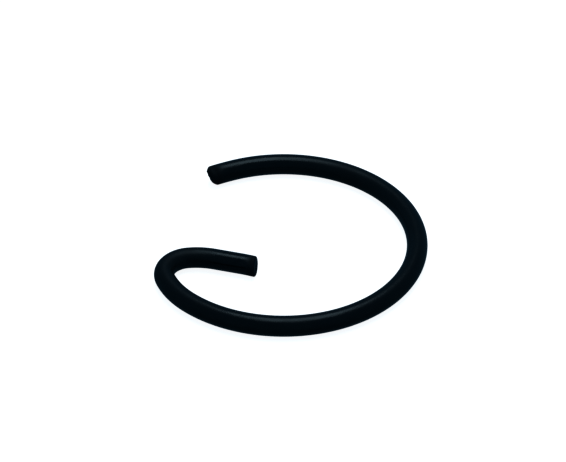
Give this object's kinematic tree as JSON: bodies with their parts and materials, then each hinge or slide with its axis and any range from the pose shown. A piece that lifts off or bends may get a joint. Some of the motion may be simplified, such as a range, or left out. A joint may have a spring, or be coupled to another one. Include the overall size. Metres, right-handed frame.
{
  "type": "circlip retaining ring",
  "caption": "Round-wire spring retaining ring with a wide mouth, one sheared plain end and one end hooked inward as a straight tang, to hold a pin in its bore.",
  "frame": {"origin": "on the ring's own axis, at the middle of the wire's thickness; the ring's curve is centred on it and every part of the wire lies at the same height", "axes": "+Z along the ring's axis, out of the flat of the ring; -X towards the middle of the mouth; +Y towards the half that ends in the plain sheared end, so the hooked end lies at -Y"},
  "size_m": [0.013, 0.014, 0.001],
  "materials": {
    "black_spring_wire": "black oxide on drawn spring steel wire, satin"
  },
  "bodies": {
    "root": {"retaining_ring": "black_spring_wire"}
  },
  "joints": []
}
